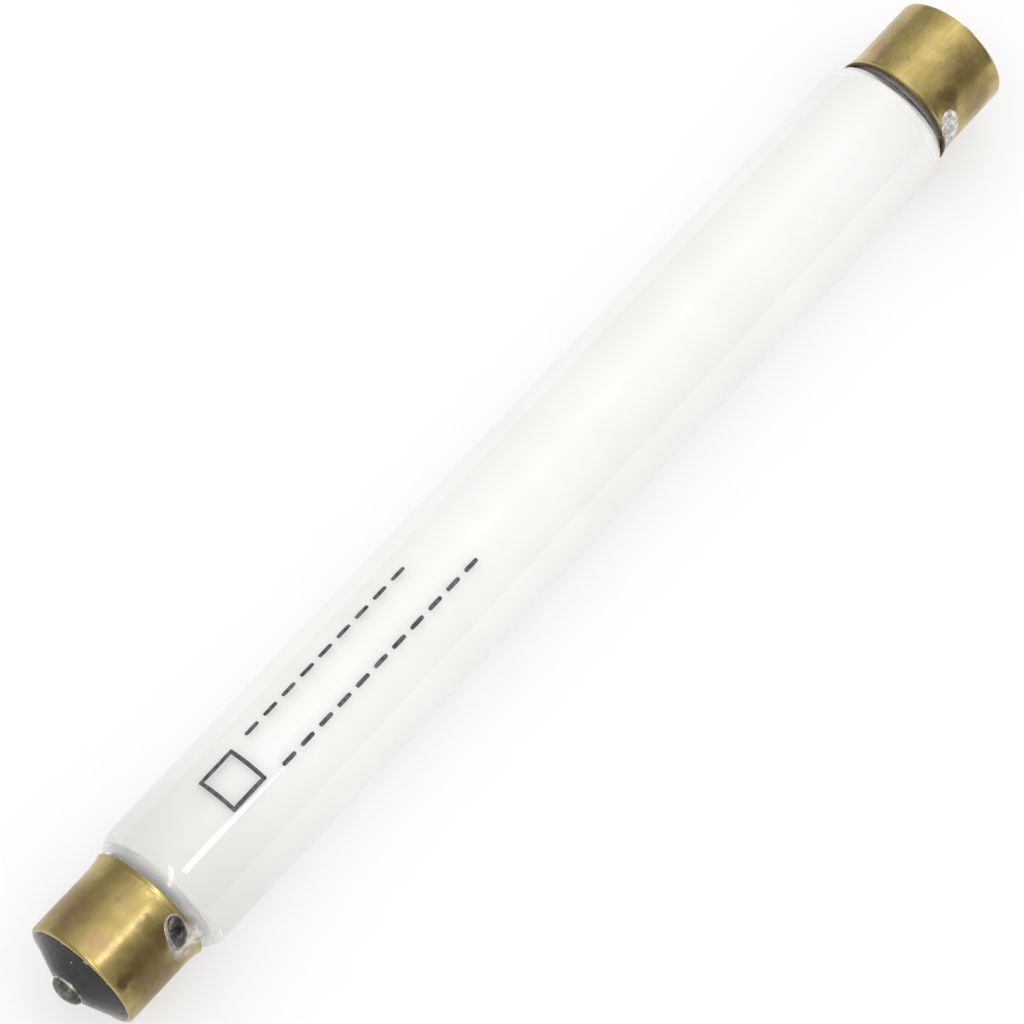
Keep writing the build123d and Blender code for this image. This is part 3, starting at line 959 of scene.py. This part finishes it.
for name, form, finish in (("solder_ring", RING, ring_solder), ("flux_film", FLUX, dried_flux("dried_flux"))):
    grid = pad(form, SPILL_SQUARENESS, (form["height"], SPILL_FULLNESS), bed, rim_seat)
    spill = skin(name, [at_end(grid, "left")], ring=False)
    spill.data.materials.append(finish)
    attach(spill, "root")


# Print: ink stamped on the finished tube, drawn here as a plain open square and two rows of
# plain bars that stand for nothing.
INK_ROWS = 6
INK_COLUMNS = 32
INK_RISE = 0.012 * MM
INK_SINK = 0.006 * MM
INK_FULLNESS = 8
INK_SQUARENESS = 5
INK_BLACK = (0.030, 0.032, 0.032, 1)
INK_WORN = (0.11, 0.115, 0.11, 1)
SQUARE_X = -46.5 * MM
SQUARE_ANGLE = math.radians(89)
SQUARE_HALF = 2.5 * MM
STROKE = 0.24 * MM
ROW_ANGLES = (math.radians(72), math.radians(109))
ROW_START = -41.0 * MM
ROW_BARS = (9, 11)
BAR_PITCH = 2.8 * MM
BAR_HALF = 0.95 * MM


def tube_seat(x):
    """What the ink lies on: the straight tube, the same all along."""
    return np.full(np.shape(x), TUBE_R)


def ink_bar(x, angle, length, width):
    """One flat bar of ink on the glass, a low pad with rounded corners."""
    form = {"x": x, "angle": angle, "length": length, "width": width, "slant": 0.0}
    top = (INK_RISE, INK_FULLNESS)
    under = (INK_SINK, INK_FULLNESS)
    return pad(form, INK_SQUARENESS, top, under, tube_seat, INK_ROWS, INK_COLUMNS)


side = SQUARE_HALF - STROKE
bars = []
for sign in (-1, 1):
    bars.append(ink_bar(SQUARE_X, SQUARE_ANGLE + sign * side / TUBE_R, SQUARE_HALF, STROKE))
    bars.append(ink_bar(SQUARE_X + sign * side, SQUARE_ANGLE, STROKE, SQUARE_HALF))
for row_angle, count in zip(ROW_ANGLES, ROW_BARS):
    for place in range(count):
        bars.append(ink_bar(ROW_START + place * BAR_PITCH, row_angle, BAR_HALF, STROKE))
marks = skin("print_marks", bars, ring=False)
stamped_ink = mottled(
    "stamped_ink", INK_BLACK, INK_WORN, scale=2200, roughness=0.5, metallic=0.0, depth=0.004 * MM,
)
marks.data.materials.append(stamped_ink)
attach(marks, "root")


# Floor: a plain white sheet under the lamp. The camera, metal and glass see it half as lit
# paper and half as plain white, so the lamp's shadow stays and the sheet reads as white.
FLOOR_HALF = 3.0
FLOOR_CORNERS = ((-1, -1), (1, -1), (1, 1), (-1, 1))
FLOOR_WHITE = (0.84, 0.84, 0.84, 1)
FLOOR_GLOW = 0.5
PLAIN_WHITE = (1, 1, 1, 1)

floor_z = cad_box[0].z
sheet = bpy.data.meshes.new("floor")
corners = np.insert(FLOOR_HALF * np.array(FLOOR_CORNERS), 2, floor_z, axis=1)
sheet.from_pydata(corners.tolist(), [], [(0, 1, 2, 3)])
floor = put_in_scene("floor", sheet)
paper, tree = new_material("white_paper")
path = node(tree, "ShaderNodeLightPath")
seen = arithmetic(tree, "MAXIMUM", path.outputs["Is Camera Ray"], path.outputs["Is Glossy Ray"])
seen = arithmetic(tree, "MAXIMUM", seen, path.outputs["Is Transmission Ray"])
lit = node(tree, "ShaderNodeBsdfDiffuse", {"Color": FLOOR_WHITE}).outputs["BSDF"]
white = node(tree, "ShaderNodeEmission", {"Color": PLAIN_WHITE, "Strength": 1.0}).outputs["Emission"]
show(tree, laid_over(tree, arithmetic(tree, "MULTIPLY", seen, FLOOR_GLOW), lit, white))
floor.data.materials.append(paper)


# Studio light: a pale room that lights the lamp evenly, in which metal and glass mirror a bright
# ceiling, a little askew to the tube, and a strip lamp at the left over a darker front and back.
# One small lamp stands close beside the camera.
MIRRORED_ROOM = [
    (0.0, 0.50), (0.07, 0.48), (0.18, 0.55), (0.29, 0.78), (0.41, 1.35), (0.46, 1.5), (0.50, 1.4),
    (0.55, 1.15), (0.60, 0.85), (0.64, 0.72), (0.72, 0.60), (0.81, 0.42), (0.905, 0.27), (1.0, 0.22),
]
LIGHTING_ROOM = [(0.0, 1.12), (0.3, 1.2), (0.5, 1.3), (0.7, 1.2), (1.0, 1.05)]
ROOM_SLANT = math.radians(27)
ROOM_SLANT_FROM = 0.43
STRIP_LEVEL = 4.0
STRIP_ANGLE = math.radians(91)
STRIP_LEAN = math.radians(24)
STRIP_HALF = math.radians(4)
STRIP_EDGE = math.radians(2)
STRIP_ENDS = (-0.85, -0.14)
STRIP_FADE = 0.06
LAMP_CENTRE = Vector((0.064, -0.205, 0.500))
LAMP_ALONG = 0.060
LAMP_ACROSS = 0.080
LAMP_POWER = 0.13


def strip_lamp(tree, swing, along):
    """A thin bright strip across the left of the room, which leans forward as it runs out.

    Full level within a half width of its middle line and between its two ends, fading at its edges.
    """
    lean = arithmetic(tree, "MULTIPLY_ADD", along, STRIP_LEAN, swing)
    off = arithmetic(tree, "ABSOLUTE", arithmetic(tree, "SUBTRACT", lean, STRIP_ANGLE))
    glow = spread(tree, off, STRIP_HALF + STRIP_EDGE, STRIP_HALF, end=STRIP_LEVEL)
    first, last = STRIP_ENDS
    glow = arithmetic(tree, "MULTIPLY", glow, spread(tree, along, first - STRIP_FADE, first))
    glow = arithmetic(tree, "MULTIPLY", glow, spread(tree, along, last + STRIP_FADE, last))
    return node(tree, "ShaderNodeBackground", {"Color": PLAIN_WHITE, "Strength": glow}).outputs["Background"]


def room(tree, share, levels):
    """A backdrop whose level follows the way round the lamp's axis, from +Y over the top to -Y."""
    ramp = node(tree, "ShaderNodeValToRGB", {"Fac": share})
    while len(ramp.color_ramp.elements) < len(levels):
        ramp.color_ramp.elements.new(0.5)
    for element, (position, level) in zip(ramp.color_ramp.elements, levels):
        element.position = position
        element.color = (level, level, level, 1)
    return node(tree, "ShaderNodeBackground", {"Color": ramp.outputs["Color"]}).outputs["Background"]


world = bpy.data.worlds.new("pale_room")
bpy.context.scene.world = world
world.use_nodes = True
tree = world.node_tree
tree.nodes.clear()
way = node(tree, "ShaderNodeTexCoord").outputs["Generated"]
parts = node(tree, "ShaderNodeSeparateXYZ", {"Vector": way})
swing = arithmetic(tree, "ARCTAN2", parts.outputs["Z"], parts.outputs["Y"])
strip = strip_lamp(tree, swing, parts.outputs["X"])
slant = arithmetic(tree, "SUBTRACT", parts.outputs["X"], ROOM_SLANT_FROM)
slanted = arithmetic(tree, "ADD", swing, arithmetic(tree, "MULTIPLY", slant, ROOM_SLANT))
share = arithmetic(tree, "DIVIDE", slanted, math.pi)
mirrored = node(tree, "ShaderNodeAddShader", {0: room(tree, share, MIRRORED_ROOM), 1: strip})
path = node(tree, "ShaderNodeLightPath")
even = room(tree, share, LIGHTING_ROOM)
lighting = laid_over(tree, path.outputs["Is Glossy Ray"], even, mirrored.outputs["Shader"])
plain = node(tree, "ShaderNodeBackground", {"Color": PLAIN_WHITE}).outputs["Background"]
backdrop = laid_over(tree, path.outputs["Is Camera Ray"], lighting, plain)
node(tree, "ShaderNodeOutputWorld", {"Surface": backdrop})

bulb = bpy.data.lights.new("small_lamp", "AREA")
bulb.shape = "RECTANGLE"
bulb.size = LAMP_ALONG
bulb.size_y = LAMP_ACROSS
bulb.energy = LAMP_POWER
small_lamp = put_in_scene("small_lamp", bulb)
small_lamp.location = LAMP_CENTRE
small_lamp.rotation_mode = "QUATERNION"
small_lamp.rotation_quaternion = LAMP_CENTRE.to_track_quat("Z", "Y")


# Camera: a long lens that looks steeply down on the lamp from its left end, so that the near
# cap shows its cone and its contact.
CAMERA_AZIMUTH = math.radians(-49.594)
CAMERA_ELEVATION = math.radians(64.895)
CAMERA_DISTANCE = 0.553
CAMERA_AIM = Vector((-3.036, 0.408, -0.050)) * MM
CAMERA_LENS = 186.85
CAMERA_SENSOR = 36
CAMERA_NEAR = 0.01

back = Vector((
    math.sin(CAMERA_AZIMUTH) * math.cos(CAMERA_ELEVATION),
    -math.cos(CAMERA_AZIMUTH) * math.cos(CAMERA_ELEVATION),
    math.sin(CAMERA_ELEVATION),
))
lens = bpy.data.cameras.new("camera")
lens.lens = CAMERA_LENS
lens.sensor_width = CAMERA_SENSOR
lens.clip_start = CAMERA_NEAR
camera = put_in_scene("camera", lens)
camera.location = CAMERA_AIM + back * CAMERA_DISTANCE
camera.rotation_mode = "QUATERNION"
camera.rotation_quaternion = (-back).to_track_quat("-Z", "Y")
bpy.context.scene.camera = camera
bpy.context.scene.view_settings.view_transform = "Standard"
